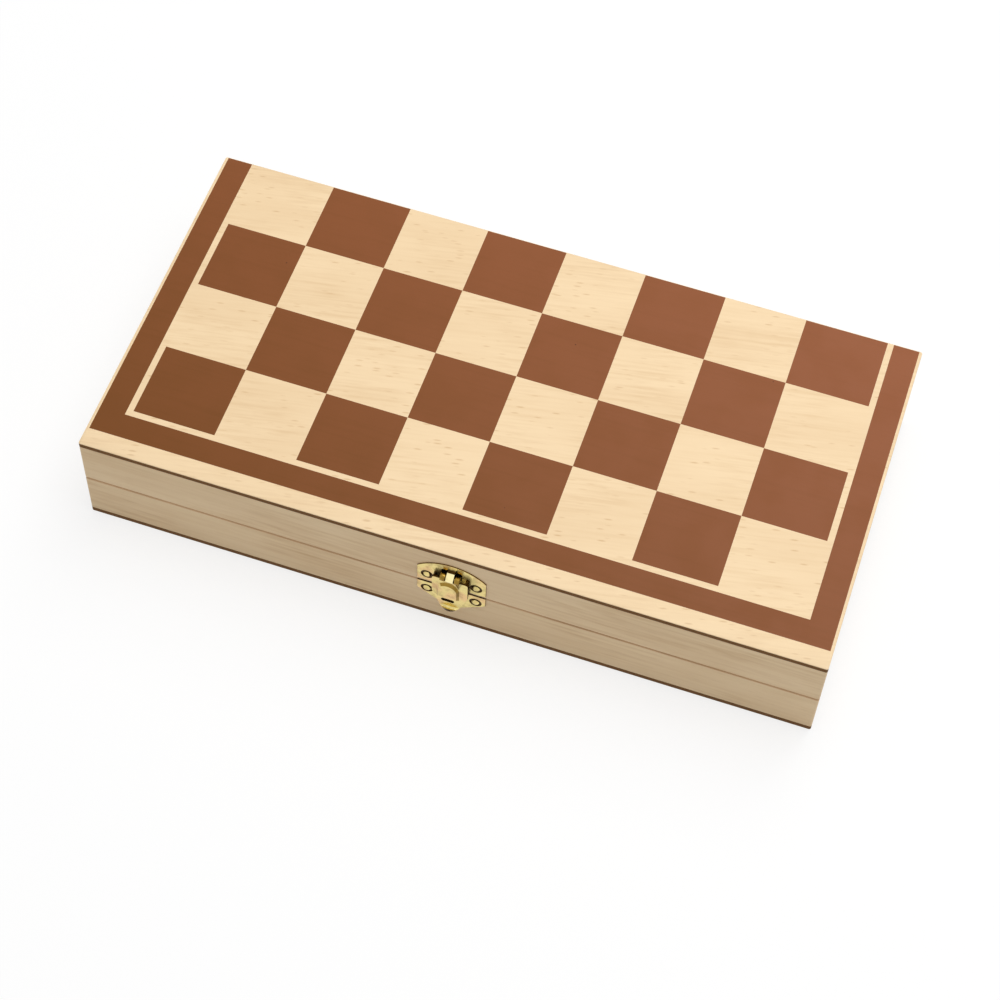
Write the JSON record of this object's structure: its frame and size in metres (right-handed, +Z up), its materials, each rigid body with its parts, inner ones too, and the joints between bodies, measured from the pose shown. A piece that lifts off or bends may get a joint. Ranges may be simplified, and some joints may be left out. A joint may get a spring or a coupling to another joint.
{
  "type": "magnetic folding chess set",
  "caption": "Closed folding chess box in pale beech with a brown checker pattern on its outer faces, rear hinges, a brass front latch, and magnetic chessmen lying in foam trays inside.",
  "frame": {"origin": "middle of the underside of the closed box", "axes": "+X along the hinges, -Y towards the latch, +Z up"},
  "size_m": [0.29, 0.1536, 0.047],
  "materials": {
    "board_panel": "printed veneer, satin",
    "beech_wall": "sanded beech, satin varnish",
    "steel_sheet": "plain rolled",
    "tray_foam": "flocked foam",
    "light_wood": "turned, satin lacquer",
    "dark_wood": "turned and stained, satin lacquer",
    "magnet": "nickel plated",
    "felt": "pressed felt",
    "latch_brass": "bright plated",
    "hinge_brass": "satin plated"
  },
  "bodies": {
    "lower_half": {"black_bishops": "dark_wood", "black_felt_discs": "felt", "black_king": "dark_wood", "black_knights": "dark_wood", "black_magnets": "magnet", "black_pawns": "dark_wood", "black_queen": "dark_wood", "black_rooks": "dark_wood", "latch_catch_plate": "latch_brass", "latch_lower_nails": "latch_brass", "left_hinge_lower_leaf": "hinge_brass", "left_hinge_pin": "hinge_brass", "lower_board_panel": "board_panel", "lower_foam_tray": "tray_foam", "lower_front_wall": "beech_wall", "lower_hinge_screws": "hinge_brass", "lower_left_wall": "beech_wall", "lower_rear_wall": "beech_wall", "lower_right_wall": "beech_wall", "lower_steel_sheet": "steel_sheet", "right_hinge_lower_leaf": "hinge_brass", "right_hinge_pin": "hinge_brass"},
    "upper_half": {"latch_pin": "latch_brass", "latch_upper_nails": "latch_brass", "latch_upper_plate": "latch_brass", "left_hinge_upper_leaf": "hinge_brass", "right_hinge_upper_leaf": "hinge_brass", "upper_board_panel": "board_panel", "upper_foam_tray": "tray_foam", "upper_front_wall": "beech_wall", "upper_hinge_screws": "hinge_brass", "upper_left_wall": "beech_wall", "upper_rear_wall": "beech_wall", "upper_right_wall": "beech_wall", "upper_steel_sheet": "steel_sheet", "white_bishops": "light_wood", "white_felt_discs": "felt", "white_king": "light_wood", "white_knights": "light_wood", "white_magnets": "magnet", "white_pawns": "light_wood", "white_queen": "light_wood", "white_rooks": "light_wood"},
    "latch_tongue": {"latch_tongue": "latch_brass"}
  },
  "joints": [
    {"name": "fold", "type": "hinge", "parent": "lower_half", "child": "upper_half", "pos_m": [0, 0.07415, 0.0235], "axis": [-1, 0, 0], "range_deg": [0, 180]},
    {"name": "latch_swing", "type": "hinge", "parent": "upper_half", "child": "latch_tongue", "pos_m": [0.0032, -0.0759, 0.034], "axis": [-1, 0, 0], "range_deg": [0, 130]}
  ]
}
